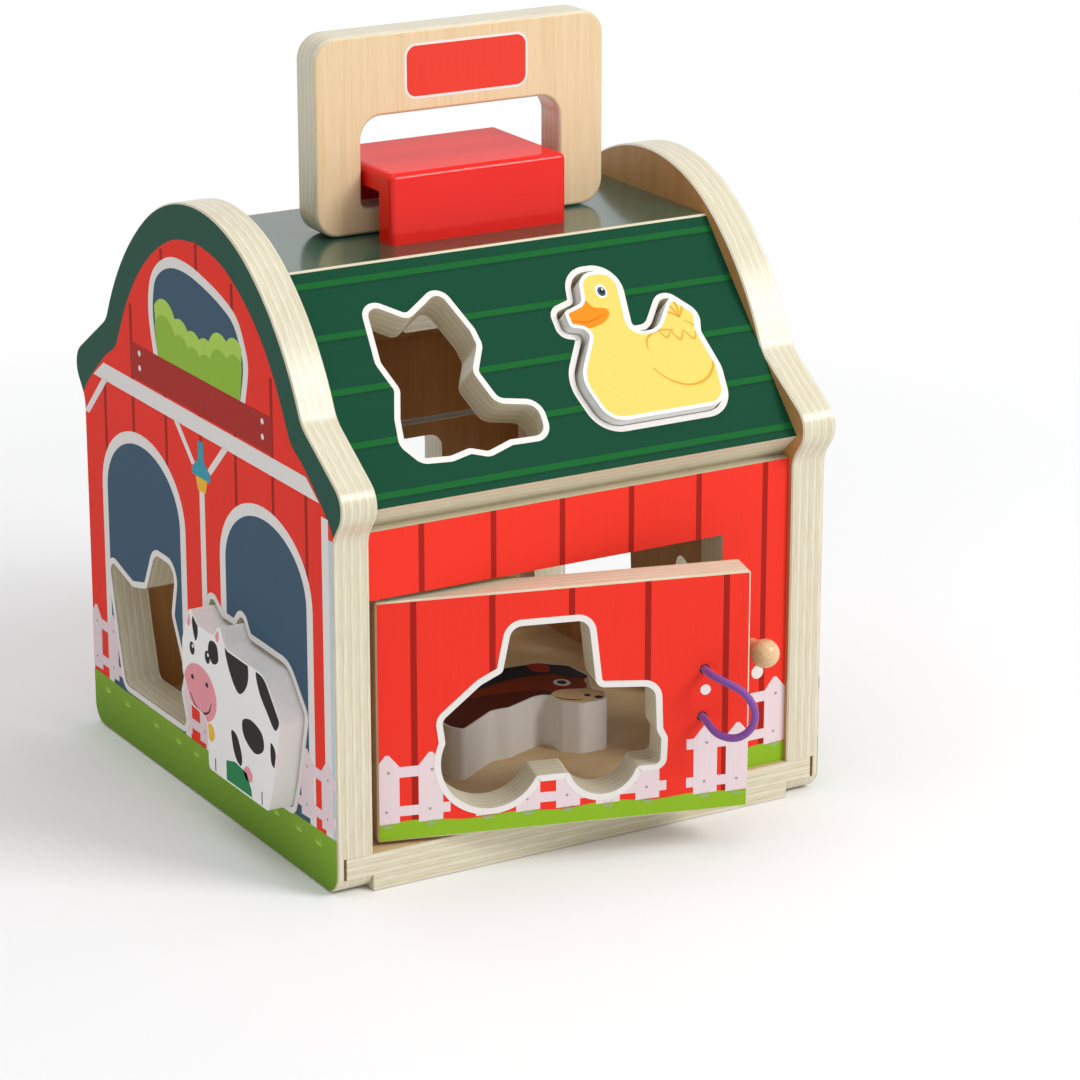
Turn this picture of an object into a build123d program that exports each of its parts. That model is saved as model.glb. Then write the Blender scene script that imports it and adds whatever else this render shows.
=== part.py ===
"""A wooden toy barn that sorts animal blocks, in millimetres.

The barn stands on the XY plane with +Z up and its footprint centred on the origin. The two arched
gables are its left and right ends (-X and +X). The front door faces -Y and stands partly open.
Every board is the same plywood. Glued round dowels join the boards, the doors turn on steel pins,
and the carrying handle is trapped by its lower bar in a tunnel under the red block on the ridge.
"""

import math
import os

from build123d import *

os.makedirs("parts", exist_ok=True)

# --- Boards and the size of the barn ----------------------------------------------------------
ply = 12.0  # thickness of every board
barn_width = 172.0  # over the outer faces of the two gables
gable_depth = 174.0  # over the straight front and back edges of a gable
edge_break = 0.5  # sanded corner along the edges of gables and doors

# --- Gable outline, one half of it, measured from the middle ----------------------------------
arch_rise = 14.4  # top of the arch above the ridge
arch_radius = 63.5  # round top of the arch
arch_reach = 36.6  # distance from the middle where the round top meets the flank
eave_nook_inset = 20.6  # hollow corner between flank and shoulder, in from the eave
eave_nook_rise = 22.4  # and above it
eave_nook_radius = 10.0
shoulder_overhang = 7.5  # sharp corner that the round shoulder is cut from, past the eave
shoulder_rise = 4.0
shoulder_radius = 8.0
shoulder_foot_drop = 8.5  # below the eave, where the shoulder meets the straight edge
shoulder_foot_radius = 8.0
foot_radius = 7.0  # bottom corners of the gable

# --- Roof ---------------------------------------------------------------------------------------
roof_pitch = 47.7  # degrees from level
roof_slope_length = 79.5
eave_overhang = 1.9  # past the straight edge of the gables

# --- Base -------------------------------------------------------------------------------------
base_thickness = 12.0
tongue_thickness = 7.0  # upper part of the base that enters the gables
tongue_length = 9.0
tongue_end_gap = 1.0

# --- Front and back walls and their doors -----------------------------------------------------
wall_recess = 2.0  # wall faces stand back from the gable edges
stile_width = 24.0
header_bottom = 91.0
header_height = 21.12  # of the outer face, up to the underside of the roof
door_hinge_gap = 5.0
door_free_gap = 3.0
door_foot_gap = 1.2
door_head_gap = 1.6
pin_inset = 6.0  # hinge pin from the hinge edge of the door
pin_radius = 2.0
pin_running_gap = 0.08
pin_grip = 9.0  # length of pin held in the wall header or the base
pin_reach = 12.0  # length of pin that enters the door
front_door_opening = 15.5  # degrees, as it stands
back_door_opening = 0.0

# --- Knob on each stile, and the elastic loop on each door ------------------------------------
knob_radius = 4.6
knob_standoff = 8.0  # ball centre from the wall face
knob_height = 52.7
knob_edge_distance = 13.0  # knob centre from the gable
knob_neck_radius = 2.6
knob_peg_length = 8.0  # part of the neck glued into the stile
cord_diameter = 2.4
cord_hole_radius = 1.6
cord_top = (101.8, 59.2)  # upper cord hole: from the hinge edge, height
cord_foot = (101.2, 44.0)  # lower cord hole
knot_radius = 3.0
knot_length = 3.6
knot_round = 1.2
# The free loop, chosen by hand: from the hinge edge, height, distance out from the door face.
cord_route = [
    (101.8, 59.2, 0.0),
    (101.8, 59.2, 5.0),
    (105.2, 58.3, 10.3),
    (110.2, 56.0, 14.3),
    (113.1, 50.6, 16.3),
    (112.0, 44.6, 16.0),
    (107.8, 40.8, 13.6),
    (102.8, 41.4, 9.8),
    (101.2, 44.0, 4.6),
    (101.2, 44.0, 0.0),
]

# --- Carrying handle and the block that traps it ----------------------------------------------
handle_width = 102.0
handle_height = 62.0
handle_corner = 8.0
handle_shift = 3.0  # it has slid over to the right in its tunnel
handle_rest_gap = 0.3
handle_edge_round = 1.2
window_width = 70.0
window_height = 28.3
window_sill = 8.0  # depth of the bar under the window
window_top_radius = 7.0
window_foot_radius = 2.5
block_length = 62.0
block_depth = 45.0
block_height = 22.0
block_edge_round = 2.0
tunnel_width = 30.0
tunnel_height = 15.6
screw_spacing = 44.0  # along the ridge
screw_radius = 1.6
screw_head_radius = 3.2
screw_head_height = 2.2
screw_bite = 13.0  # length inside the legs of the block

# --- Dowels -----------------------------------------------------------------------------------
dowel_radius = 3.0
dowel_in_gable = 7.0
dowel_in_board = 12.0
dowel_in_base = 9.0
dowel_hole_spare = 0.5  # air past the end of a dowel or a hinge pin
header_dowel_rise = 14.5  # above the bottom of the header
stile_dowel_rises = (24.0, 59.0)  # above the base
slope_dowel_shares = (0.2, 0.5, 0.8)  # along the slope of the roof
ridge_dowel_offset = 18.0  # from the middle of the ridge

# --- Animal blocks ----------------------------------------------------------------------------
block_thickness = 17.0
block_play = 1.1  # a block's outline lies this far inside the outline of its hole
block_rest_gap = 0.3  # left under a block that has dropped onto the foot of its hole
cow_proud = 8.0  # how far the cow block stands out of its hole
duck_proud = 3.5
horse_block_at = (6.3, -51.6)  # foot of the horse block, which lies on the base

# Outlines of the shape holes: across, up, corner radius. Each figure stands on its origin.
cow_outline = [
    (-17.5, 0, 3), (-18, 16.5, 3), (-29.5, 17.5, 6), (-35, 28, 5), (-34.5, 39, 3), (-28, 52.5, 2.5),
    (-21, 47.5, 2), (-11.5, 47.5, 2), (-6.5, 53, 2.5), (-2, 46, 3), (24, 45.5, 9), (35, 33, 4),
    (29.5, 11, 10), (25.5, 0, 3),
]
dog_outline = [
    (-18.5, 0, 3.5), (-22.5, 14.4, 6), (-28.5, 40.9, 3), (-10.5, 35.9, 6), (0, 38.4, 3),
    (7, 52.2, 5), (22.5, 51.9, 5), (18.5, 35.4, 4), (27, 18.4, 3), (24.2, 11.4, 3), (28.2, 0, 2.5),
]
horse_outline = [
    (-28.5, 0.5, 3), (-12, 11, 5), (-6, 10.5, 5), (5.5, 15, 5), (9.5, 15, 2), (9, 8, 4),
    (15, 2.2, 5), (25.5, 1.8, 5), (29, 9.5, 3), (26.5, 13, 3), (31.8, 24, 6), (31, 36, 5),
    (22.5, 44, 4), (4, 46, 10), (-14, 38, 10), (-33, 20, 8), (-32, 6, 5),
]
pig_outline = [
    (-24, 0, 2.5), (-28, 12, 8), (-27, 30, 4), (-16, 41, 12), (10, 40, 5), (18, 44, 3),
    (22, 33, 4), (29, 28, 3), (24, 16, 7), (21, 0, 2.5), (10, 0, 2.5), (8, 7, 3), (-11, 7, 3),
    (-13, 0, 2.5),
]
cat_outline = [
    (-21, 0.5, 3), (-25, 6, 3), (-23.5, 14, 4), (-20, 23.5, 4), (-23, 33, 4), (-21, 53, 3),
    (-9, 45.5, 4), (4, 53.5, 3), (9.5, 39, 4), (10, 34, 3), (5.2, 25.5, 4), (9, 14, 5),
    (22, 11.5, 4), (21.5, 1.5, 4), (9, 1.8, 3), (0.6, -0.7, 3), (-5, 1.3, 3), (-12, -0.2, 3),
]
duck_outline = [
    (-21.5, 0, 9), (-26, 17, 12), (-16.5, 31.5, 1.5), (-22.7, 33.5, 2.5), (-22.7, 40.5, 2.5),
    (-15.3, 42.6, 2), (-13, 52.8, 7), (2.8, 52.5, 7), (-0.7, 30.3, 3), (7, 30.3, 6),
    (16, 41.5, 3.5), (24.3, 33, 4), (22.3, 27, 4), (24.5, 14, 8), (22.5, 0, 8),
]
sheep_outline = [
    (-19, 0, 2.5), (-24, 12, 7), (-28, 30, 9), (-19, 45, 10), (0, 49, 8), (15, 46, 6),
    (20, 38, 3), (29, 32, 5), (28, 17, 5), (20, 13, 3), (18, 0, 2.5), (9, 0, 2.5),
    (7, 8, 3), (-7, 8, 3), (-9, 0, 2.5),
]
rooster_outline = [
    (-11, 0, 3), (-22, 20, 9), (-26, 42, 5), (-16, 49, 4), (-5, 34, 7), (6, 38, 4),
    (9, 53, 4), (19, 56, 4), (23, 48, 2), (30, 41.5, 2), (23, 37, 2), (22, 22, 7),
    (13, 12, 5), (10, 0, 3),
]
farmer_outline = [
    (-15, 0, 4), (-18.5, 25, 6), (-12.5, 30.5, 3), (-13.5, 39, 2.5), (-17.7, 42.5, 1.5),
    (-17.7, 65.3, 5), (8, 65.3, 8), (12.5, 47, 3), (21, 42.5, 2), (13, 38, 3), (11.5, 30.5, 3),
    (19, 25, 6), (17, 0, 4),
]
tractor_body = [
    (-12.5, 57.3, 4), (11.3, 57.3, 4), (13.8, 35.6, 3), (32.3, 34.2, 4), (32.8, 20, 1.5),
    (34.3, 17, 1.5), (34, 9, 2), (-20, 9, 1), (-33, 22, 1), (-34, 29.5, 3), (-22, 39.8, 8),
    (-15.3, 43.2, 2),
]
tractor_wheels = [(-19.0, 15.5, 15.5), (16.0, 12.0, 11.0)]  # across, up, radius
tractor_hollow_radius = 1.5  # hollow corners where the wheels meet the body

# Where the figures stand: across the board as seen from outside, up from its foot.
cow_hole_at = (33.0, 19.0)
dog_hole_at = (-43.0, 20.6)
pig_hole_at = (-40.0, 19.5)
horse_hole_at = (39.0, 20.0)
cat_hole_at = (-31.0, 13.0)
duck_hole_at = (31.5, 13.0)
sheep_hole_at = (30.5, 13.0)
rooster_hole_at = (-33.0, 13.0)
tractor_hole_at = (54.0, 21.0)
farmer_hole_at = (48.0, 19.0)

# --- Worked out from the sizes above ----------------------------------------------------------
half_width = barn_width / 2
inner_half = half_width - ply
inner_width = 2 * inner_half
half_depth = gable_depth / 2
wall_face = half_depth - wall_recess  # a wall's outer face, from the middle
wall_middle = wall_face - ply / 2
wall_inside = wall_face - ply
pitch = math.radians(roof_pitch)
eave_out = half_depth + eave_overhang
eave_under_out = eave_out - ply * math.sin(pitch)
eave_under_height = header_bottom + header_height
eave_height = eave_under_height + ply * math.cos(pitch)
ridge_height = eave_height + roof_slope_length * math.sin(pitch)
ridge_underside = ridge_height - ply
half_ridge = eave_out - roof_slope_length * math.cos(pitch)
half_ridge_under = half_ridge - ply * math.tan(pitch / 2)  # ridge and slope meet in a mitre
arch_height = ridge_height + arch_rise
eave_nook = (eave_out - eave_nook_inset, eave_height + eave_nook_rise)
shoulder_tip = (eave_out + shoulder_overhang, eave_height + shoulder_rise)
shoulder_foot = (half_depth, eave_height - shoulder_foot_drop)
wall_back_height = eave_under_height + (eave_under_out - wall_inside) * math.tan(pitch)
stile_edge = inner_half - stile_width  # doorway side of the stile
stile_middle = inner_half - stile_width / 2
hinge_edge = inner_half - door_hinge_gap
door_width = hinge_edge + stile_edge - door_free_gap
door_bottom = base_thickness + door_foot_gap
door_top = header_bottom - door_head_gap
pin_across = hinge_edge - pin_inset  # pin axis from the middle of the barn
knob_across = inner_half - knob_edge_distance
block_drop = Location((0, block_rest_gap - block_play))
handle_foot = ridge_height + handle_rest_gap
screw_row = (tunnel_width + block_depth) / 4  # middle of a block leg

sides = ("front", "back")
sign_of = {"front": -1, "back": 1, "left": -1, "right": 1}
heading = {side: 90 + 90 * sign_of[side] for side in sides}  # degrees round from the front
opening = {"front": front_door_opening, "back": back_door_opening}
stile_end = {"front": "right", "back": "left"}
header_end = {"front": "left", "back": "right"}


def rounded(corners):
    """The face inside an outline of (across, up, corner radius) points."""
    with BuildSketch() as shape:
        with BuildLine():
            FilletPolyline(
                *[(across, up) for across, up, _ in corners],
                radius=[radius for _, _, radius in corners],
                close=True,
            )
        make_face()
    return shape.sketch


def figure(outline, play=0.0):
    """A figure's face, drawn in by the play of a block in its hole."""
    with BuildSketch() as shape:
        add(rounded(outline))
        if play:
            offset(amount=-play, kind=Kind.ARC)
    return shape.sketch


def tractor():
    """A tractor seen from its side: body, two wheels, and rounded hollows between them."""
    with BuildSketch() as shape:
        add(rounded(tractor_body))
        for across, up, radius in tractor_wheels:
            with Locations((across, up)):
                Circle(radius)
        offset(amount=tractor_hollow_radius, kind=Kind.ARC)
        offset(amount=-tractor_hollow_radius, kind=Kind.ARC)
    return shape.sketch


def pin_place(side):
    """Where a door's hinge pins stand, seen from above."""
    place = Vector(-pin_across, -wall_middle).rotate(Axis.Z, heading[side])
    return (place.X, place.Y)


def wall_plane(side):
    """The outer face of a wall: across to the right as seen from outside, up, and out."""
    turn = math.radians(heading[side])
    return Plane(
        origin=(wall_face * math.sin(turn), -wall_face * math.cos(turn), 0),
        x_dir=(math.cos(turn), math.sin(turn), 0),
        z_dir=(math.sin(turn), -math.cos(turn), 0),
    )


def door_plane(side):
    """The outer face of a door as it stands, measured across from its hinge edge."""
    turn = math.radians(heading[side] - opening[side])
    across = Vector(math.cos(turn), math.sin(turn), 0)
    out = Vector(math.sin(turn), -math.cos(turn), 0)
    corner = Vector(*pin_place(side)) - across * pin_inset + out * ply / 2
    return Plane(origin=corner, x_dir=across, z_dir=out)


def roof_plane(side):
    """The outer face of a roof slope: across, up the slope from the eave, and out."""
    sign = sign_of[side]
    return Plane(
        origin=(0, sign * eave_out, eave_height),
        x_dir=(-sign, 0, 0),
        z_dir=(0, sign * math.sin(pitch), math.cos(pitch)),
    )


def slope_point(share):
    """The middle of a roof board, a share of the way up its slope: distance out, height."""
    run = share * roof_slope_length
    return (
        eave_out - ply / 2 * math.sin(pitch) - run * math.cos(pitch),
        eave_height - ply / 2 * math.cos(pitch) + run * math.sin(pitch),
    )


def end_holes(places_by_end):
    """Dowel holes for the ends of a board, at (Y, Z) places for each end."""
    with BuildPart() as holes:
        for end, places in places_by_end.items():
            sign = sign_of[end]
            with BuildSketch(Plane.YZ.offset(sign * inner_half)):
                with Locations(*places):
                    Circle(dowel_radius)
            extrude(amount=-sign * (dowel_in_board + dowel_hole_spare))
    return holes.part


gable_plane = {
    "left": Plane(origin=(-half_width, 0, 0), x_dir=(0, -1, 0), z_dir=(-1, 0, 0)),
    "right": Plane(origin=(half_width, 0, 0), x_dir=(0, 1, 0), z_dir=(1, 0, 0)),
}

# Dowel places on a gable as (Y, Z). Both gables hold the roof, ridge and headers, and each one
# holds the stile that stands against it.
slope_dowels = {
    side: [(sign_of[side] * out, up) for out, up in map(slope_point, slope_dowel_shares)]
    for side in sides
}
ridge_dowels = [(sign_of[side] * ridge_dowel_offset, ridge_height - ply / 2) for side in sides]
header_dowel = {
    side: (sign_of[side] * wall_middle, header_bottom + header_dowel_rise) for side in sides
}
stile_dowels = {
    side: [(sign_of[side] * wall_middle, base_thickness + rise) for rise in stile_dowel_rises]
    for side in sides
}
shared_dowels = slope_dowels["front"] + slope_dowels["back"] + ridge_dowels
shared_dowels += list(header_dowel.values())
gable_dowels = {stile_end[side]: shared_dowels + stile_dowels[side] for side in sides}
foot_dowels = [
    (-sign_of[side] * stile_middle, sign_of[side] * wall_middle) for side in sides
]

# --- Gables -----------------------------------------------------------------------------------
arch_turn = math.degrees(math.asin(arch_reach / arch_radius))
with BuildSketch() as gable_half:
    with BuildLine():
        crown = CenterArc((0, arch_height - arch_radius), arch_radius, 90 - arch_turn, arch_turn)
        TangentArc(crown @ 0, eave_nook, tangent=(crown % 0) * -1)
        Polyline(
            eave_nook,
            shoulder_tip,
            shoulder_foot,
            (half_depth, 0),
            (0, 0),
            (0, arch_height),
        )
    make_face()
    for corner, radius in (
        (eave_nook, eave_nook_radius),
        (shoulder_tip, shoulder_radius),
        (shoulder_foot, shoulder_foot_radius),
        ((half_depth, 0), foot_radius),
    ):
        fillet(gable_half.vertices().sort_by_distance(Vector(*corner))[0], radius)
with BuildSketch() as gable_outline:
    add(gable_half.sketch)
    mirror(gable_half.sketch, about=Plane.YZ)

with BuildSketch() as facing_back:
    mirror(figure(horse_outline), about=Plane.YZ)
gable_holes = {
    "left": [(figure(cow_outline), cow_hole_at), (figure(dog_outline), dog_hole_at)],
    "right": [(figure(pig_outline), pig_hole_at), (facing_back.sketch, horse_hole_at)],
}
for end in ("left", "right"):
    sign = sign_of[end]
    with BuildPart() as gable:
        with BuildSketch(gable_plane[end]):
            add(gable_outline.sketch)
        extrude(amount=-ply)
        rims = gable.faces().filter_by(Axis.X).edges()
        chamfer(rims.filter_by(lambda edge: edge.center().Z > edge_break), edge_break)
        for hole, place in gable_holes[end]:
            with BuildSketch(gable_plane[end]):
                add(hole.moved(Location(place)))
            extrude(amount=-ply, mode=Mode.SUBTRACT)
        # Slot for the base tongue, open at both edges of the gable.
        slot_depth = tongue_length + tongue_end_gap
        with Locations((sign * (inner_half + slot_depth / 2), 0, base_thickness)):
            Box(
                slot_depth,
                gable_depth,
                tongue_thickness,
                align=(Align.CENTER, Align.CENTER, Align.MAX),
                mode=Mode.SUBTRACT,
            )
        # Blind dowel holes in the inner face.
        with BuildSketch(Plane.YZ.offset(sign * inner_half)):
            with Locations(*gable_dowels[end]):
                Circle(dowel_radius)
        extrude(amount=sign * (dowel_in_gable + dowel_hole_spare), mode=Mode.SUBTRACT)
    gable.part.label = f"{end}_gable"
    export_step(gable.part, f"parts/{end}_gable.step")

    with BuildPart() as dowels:
        with BuildSketch(Plane.YZ.offset(sign * (inner_half - dowel_in_board))):
            with Locations(*gable_dowels[end]):
                Circle(dowel_radius)
        extrude(amount=sign * (dowel_in_board + dowel_in_gable))
    dowels.part.label = f"{end}_dowels"
    export_step(dowels.part, f"parts/{end}_dowels.step")

# --- Base -------------------------------------------------------------------------------------
with BuildPart() as base:
    Box(inner_width, gable_depth, base_thickness, align=(Align.CENTER, Align.CENTER, Align.MIN))
    with Locations((0, 0, base_thickness)):
        Box(
            inner_width + 2 * tongue_length,
            gable_depth,
            tongue_thickness,
            align=(Align.CENTER, Align.CENTER, Align.MAX),
        )
    with BuildSketch(Plane.XY.offset(base_thickness)):
        with Locations(*[pin_place(side) for side in sides]):
            Circle(pin_radius)
    extrude(amount=-pin_grip, mode=Mode.SUBTRACT)
    with BuildSketch(Plane.XY.offset(base_thickness)):
        with Locations(*foot_dowels):
            Circle(dowel_radius)
    extrude(amount=-dowel_in_base, mode=Mode.SUBTRACT)
base.part.label = "base_panel"
export_step(base.part, "parts/base_panel.step")

with BuildPart() as foot_pegs:
    with BuildSketch(Plane.XY.offset(base_thickness - dowel_in_base)):
        with Locations(*foot_dowels):
            Circle(dowel_radius)
    extrude(amount=dowel_in_base + dowel_in_board)
foot_pegs.part.label = "wall_foot_dowels"
export_step(foot_pegs.part, "parts/wall_foot_dowels.step")

# --- Roof slopes ------------------------------------------------------------------------------
roof_holes = {
    "front": [(cat_outline, cat_hole_at), (duck_outline, duck_hole_at)],
    "back": [(sheep_outline, sheep_hole_at), (rooster_outline, rooster_hole_at)],
}
for side in sides:
    sign = sign_of[side]
    with BuildPart() as slope:
        with BuildSketch(Plane.YZ.offset(-inner_half)):
            with BuildLine():
                Polyline(
                    (sign * half_ridge, ridge_height),
                    (sign * eave_out, eave_height),
                    (sign * eave_under_out, eave_under_height),
                    (sign * half_ridge_under, ridge_underside),
                    close=True,
                )
            make_face()
        extrude(amount=inner_width)
        for outline, place in roof_holes[side]:
            with BuildSketch(roof_plane(side)):
                add(figure(outline).moved(Location(place)))
            extrude(amount=-ply, mode=Mode.SUBTRACT)
        both_ends = {"left": slope_dowels[side], "right": slope_dowels[side]}
        add(end_holes(both_ends), mode=Mode.SUBTRACT)
    slope.part.label = f"{side}_roof_panel"
    export_step(slope.part, f"parts/{side}_roof_panel.step")

# --- Ridge ------------------------------------------------------------------------------------
with BuildPart() as ridge:
    with BuildSketch(Plane.YZ.offset(-inner_half)):
        with BuildLine():
            Polyline(
                (-half_ridge, ridge_height),
                (half_ridge, ridge_height),
                (half_ridge_under, ridge_underside),
                (-half_ridge_under, ridge_underside),
                close=True,
            )
        make_face()
    extrude(amount=inner_width)
    add(end_holes({"left": ridge_dowels, "right": ridge_dowels}), mode=Mode.SUBTRACT)
    with BuildSketch(Plane.XY.offset(ridge_height)):
        with GridLocations(screw_spacing, 2 * screw_row, 2, 2):
            Circle(screw_radius)
    extrude(amount=-ply, mode=Mode.SUBTRACT)
ridge.part.label = "ridge_panel"
export_step(ridge.part, "parts/ridge_panel.step")

# --- Walls, knobs, hinge pins, doors and elastic loops, alike at the front and the back -------
for side in sides:
    face = wall_plane(side)
    sign = sign_of[side]
    with BuildPart() as wall:
        with BuildSketch(face):
            with BuildLine():
                Polyline(
                    (-inner_half, header_bottom),
                    (stile_edge, header_bottom),
                    (stile_edge, base_thickness),
                    (inner_half, base_thickness),
                    (inner_half, wall_back_height),
                    (-inner_half, wall_back_height),
                    close=True,
                )
            make_face()
        extrude(amount=-ply)
        # The top edge is bevelled to lie along the underside of the roof slope.
        with BuildSketch(Plane.YZ.offset(-inner_half)):
            with BuildLine():
                Polyline(
                    (sign * wall_face, eave_under_height),
                    (sign * eave_under_out, eave_under_height),
                    (sign * wall_inside, wall_back_height),
                    (sign * wall_face, wall_back_height),
                    close=True,
                )
            make_face()
        extrude(amount=inner_width, mode=Mode.SUBTRACT)
        wall_dowels = {
            stile_end[side]: [header_dowel[side]] + stile_dowels[side],
            header_end[side]: [header_dowel[side]],
        }
        add(end_holes(wall_dowels), mode=Mode.SUBTRACT)
        with BuildSketch(Plane.XY.offset(header_bottom)):
            with Locations(pin_place(side)):
                Circle(pin_radius)
        extrude(amount=pin_grip, mode=Mode.SUBTRACT)
        with BuildSketch(Plane.XY.offset(base_thickness)):
            with Locations((-sign * stile_middle, sign * wall_middle)):
                Circle(dowel_radius)
        extrude(amount=dowel_in_board + dowel_hole_spare, mode=Mode.SUBTRACT)
        with BuildSketch(face):
            with Locations((knob_across, knob_height)):
                Circle(knob_neck_radius)
        extrude(amount=-knob_peg_length, mode=Mode.SUBTRACT)
    wall.part.label = f"{side}_wall"
    export_step(wall.part, f"parts/{side}_wall.step")

    with BuildPart() as knob:
        with BuildSketch(face.offset(-knob_peg_length)):
            with Locations((knob_across, knob_height)):
                Circle(knob_neck_radius)
        extrude(amount=knob_peg_length + knob_standoff)
        with Locations(face.offset(knob_standoff).from_local_coords((knob_across, knob_height))):
            Sphere(knob_radius)
    knob.part.label = f"{side}_knob"
    export_step(knob.part, f"parts/{side}_knob.step")

    for name, pin_foot, pin_head in (
        ("upper", door_top - pin_reach, header_bottom + pin_grip),
        ("lower", base_thickness - pin_grip, door_bottom + pin_reach),
    ):
        with BuildPart() as pin:
            with BuildSketch(Plane.XY.offset(pin_foot)):
                with Locations(pin_place(side)):
                    Circle(pin_radius)
            extrude(amount=pin_head - pin_foot)
        pin.part.label = f"{side}_{name}_hinge_pin"
        export_step(pin.part, f"parts/{side}_{name}_hinge_pin.step")

    board = door_plane(side)
    if side == "front":
        door_hole = tractor().moved(Location(tractor_hole_at))
    else:
        door_hole = figure(farmer_outline).moved(Location(farmer_hole_at))
    with BuildPart() as door:
        with BuildSketch(board):
            with Locations((0, door_bottom)):
                Rectangle(door_width, door_top - door_bottom, align=(Align.MIN, Align.MIN))
        extrude(amount=-ply)
        chamfer(door.edges(), edge_break)
        with BuildSketch(board):
            add(door_hole)
            with Locations(cord_top, cord_foot):
                Circle(cord_hole_radius)
        extrude(amount=-ply, mode=Mode.SUBTRACT)
        # Blind holes for the hinge pins, up into the foot and down into the head of the door.
        pin_hole_depth = pin_reach + dowel_hole_spare
        for level, depth in ((door_bottom, pin_hole_depth), (door_top, -pin_hole_depth)):
            with BuildSketch(Plane.XY.offset(level)):
                with Locations(pin_place(side)):
                    Circle(pin_radius + pin_running_gap)
            extrude(amount=depth, mode=Mode.SUBTRACT)
    door.part.label = f"{side}_door"
    export_step(door.part, f"parts/{side}_door.step")

    # The elastic loop: a free stretch in front of the door, its ends knotted behind the door.
    route = [Vector(*point) for point in cord_route]
    runs = [after - before for before, after in zip(route, route[1:])]
    bends = []
    for before, after in zip(runs, runs[1:]):
        half_turn = math.radians(before.get_angle(after)) / 2
        bends.append(0.45 * min(before.length, after.length) / math.tan(half_turn))
    with BuildPart() as cord:
        with BuildLine(board):
            loop = FilletPolyline(*cord_route, radius=bends)
        with BuildSketch(board):
            with Locations(cord_top):
                Circle(cord_diameter / 2)
        sweep()
    cord.part.label = f"{side}_elastic_cord"
    export_step(cord.part, f"parts/{side}_elastic_cord.step")
    print(side, "cord bend radii", [round(bend, 1) for bend in bends])
    section = math.pi * cord_diameter**2 / 4
    print(side, "cord volume over its section", round(cord.part.volume / section, 2))
    print(side, "cord length", round(loop.length, 2))

    with BuildPart() as knots:
        with BuildSketch(board):
            with Locations(cord_top, cord_foot):
                Circle(cord_diameter / 2)
        extrude(amount=-ply)
        with BuildSketch(board.offset(-ply)):
            with Locations(cord_top, cord_foot):
                Circle(knot_radius)
        extrude(amount=-knot_length)
        far_faces = knots.faces().sort_by(Axis(board.origin, board.z_dir))[:2]
        fillet(far_faces.edges(), knot_round)
    knots.part.label = f"{side}_cord_knots"
    export_step(knots.part, f"parts/{side}_cord_knots.step")

# --- Carrying handle --------------------------------------------------------------------------
with BuildPart() as handle:
    with BuildSketch(Plane.XZ.offset(ply / 2)):
        with Locations((handle_shift, handle_foot + handle_height / 2)):
            RectangleRounded(handle_width, handle_height, handle_corner)
        with Locations((handle_shift, handle_foot + window_sill)):
            add(
                rounded(
                    [
                        (-window_width / 2, 0, window_foot_radius),
                        (window_width / 2, 0, window_foot_radius),
                        (window_width / 2, window_height, window_top_radius),
                        (-window_width / 2, window_height, window_top_radius),
                    ]
                ),
                mode=Mode.SUBTRACT,
            )
    extrude(amount=-ply)
    fillet(handle.faces().filter_by(Axis.Y).edges(), handle_edge_round)
handle.part.label = "carrying_handle"
export_step(handle.part, "parts/carrying_handle.step")

# --- Block that traps the handle, and its screws ----------------------------------------------
with BuildPart() as saddle:
    with Locations((0, 0, ridge_height)):
        Box(
            block_length,
            block_depth,
            block_height,
            align=(Align.CENTER, Align.CENTER, Align.MIN),
        )
        fillet(
            saddle.edges().filter_by(lambda edge: edge.center().Z > ridge_height + edge_break),
            block_edge_round,
        )
        Box(
            block_length,
            tunnel_width,
            tunnel_height,
            align=(Align.CENTER, Align.CENTER, Align.MIN),
            mode=Mode.SUBTRACT,
        )
    with BuildSketch(Plane.XY.offset(ridge_height)):
        with GridLocations(screw_spacing, 2 * screw_row, 2, 2):
            Circle(screw_radius)
    extrude(amount=screw_bite, mode=Mode.SUBTRACT)
saddle.part.label = "handle_block"
export_step(saddle.part, "parts/handle_block.step")

with BuildPart() as screws:
    with BuildSketch(Plane.XY.offset(ridge_underside)):
        with GridLocations(screw_spacing, 2 * screw_row, 2, 2):
            Circle(screw_radius)
    extrude(amount=ply + screw_bite)
    with BuildSketch(Plane.XY.offset(ridge_underside)):
        with GridLocations(screw_spacing, 2 * screw_row, 2, 2):
            Circle(screw_head_radius)
    extrude(amount=-screw_head_height)
screws.part.label = "handle_block_screws"
export_step(screws.part, "parts/handle_block_screws.step")

# --- Animal blocks ----------------------------------------------------------------------------
with BuildPart() as cow:
    with BuildSketch(gable_plane["left"].offset(cow_proud)):
        add(figure(cow_outline, block_play).moved(block_drop * Location(cow_hole_at)))
    extrude(amount=-block_thickness)
cow.part.label = "cow_block"
export_step(cow.part, "parts/cow_block.step")

with BuildPart() as duck:
    with BuildSketch(roof_plane("front").offset(duck_proud)):
        add(figure(duck_outline, block_play).moved(block_drop * Location(duck_hole_at)))
    extrude(amount=-block_thickness)
duck.part.label = "duck_block"
export_step(duck.part, "parts/duck_block.step")

with BuildPart() as horse:
    with BuildSketch(Plane.XY.offset(base_thickness)):
        add(figure(horse_outline, block_play).moved(Location(horse_block_at)))
    extrude(amount=block_thickness)
horse.part.label = "horse_block"
export_step(horse.part, "parts/horse_block.step")
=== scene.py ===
"""The looks of a wooden shape-sorting toy barn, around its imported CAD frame."""

import math

import bmesh
import bpy
from mathutils import Matrix, Vector


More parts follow.
